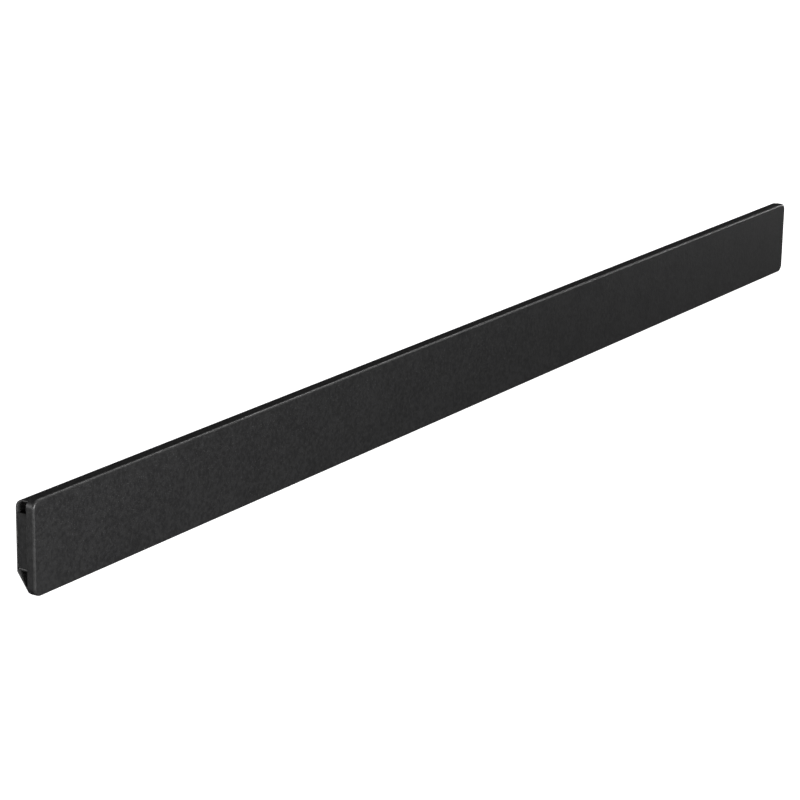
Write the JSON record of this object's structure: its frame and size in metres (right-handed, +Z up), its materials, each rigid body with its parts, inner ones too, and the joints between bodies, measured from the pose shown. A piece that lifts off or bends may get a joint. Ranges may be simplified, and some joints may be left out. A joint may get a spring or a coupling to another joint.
{
  "type": "kick plate",
  "caption": "Long low trim plate: shallow rimmed front panel with rounded corners, a folded rear channel with a slanted lower wall, closed ends and threaded fixings at the back.",
  "frame": {"origin": "mid-length and mid-depth, level with the bottom edge of the front panel", "axes": "+X along the plate, from the left end to the right end as the face is looked at; +Y from the face to the back; +Z up"},
  "size_m": [1, 0.0146, 0.06],
  "materials": {
    "panel_coat": "fine textured black powder coat, satin",
    "channel_coat": "thin matt black powder coat",
    "foam_pad": "closed-cell acrylic foam",
    "nut_zinc": "zinc plated, turned"
  },
  "bodies": {
    "root": {"front_panel": "panel_coat", "rear_channel": "channel_coat", "end_plate_left": "panel_coat", "end_plate_right": "panel_coat", "stiffener_1": "channel_coat", "stiffener_2": "channel_coat", "stiffener_3": "channel_coat", "stiffener_4": "channel_coat", "bonding_pads": "foam_pad", "clinch_nuts": "nut_zinc"}
  },
  "joints": []
}
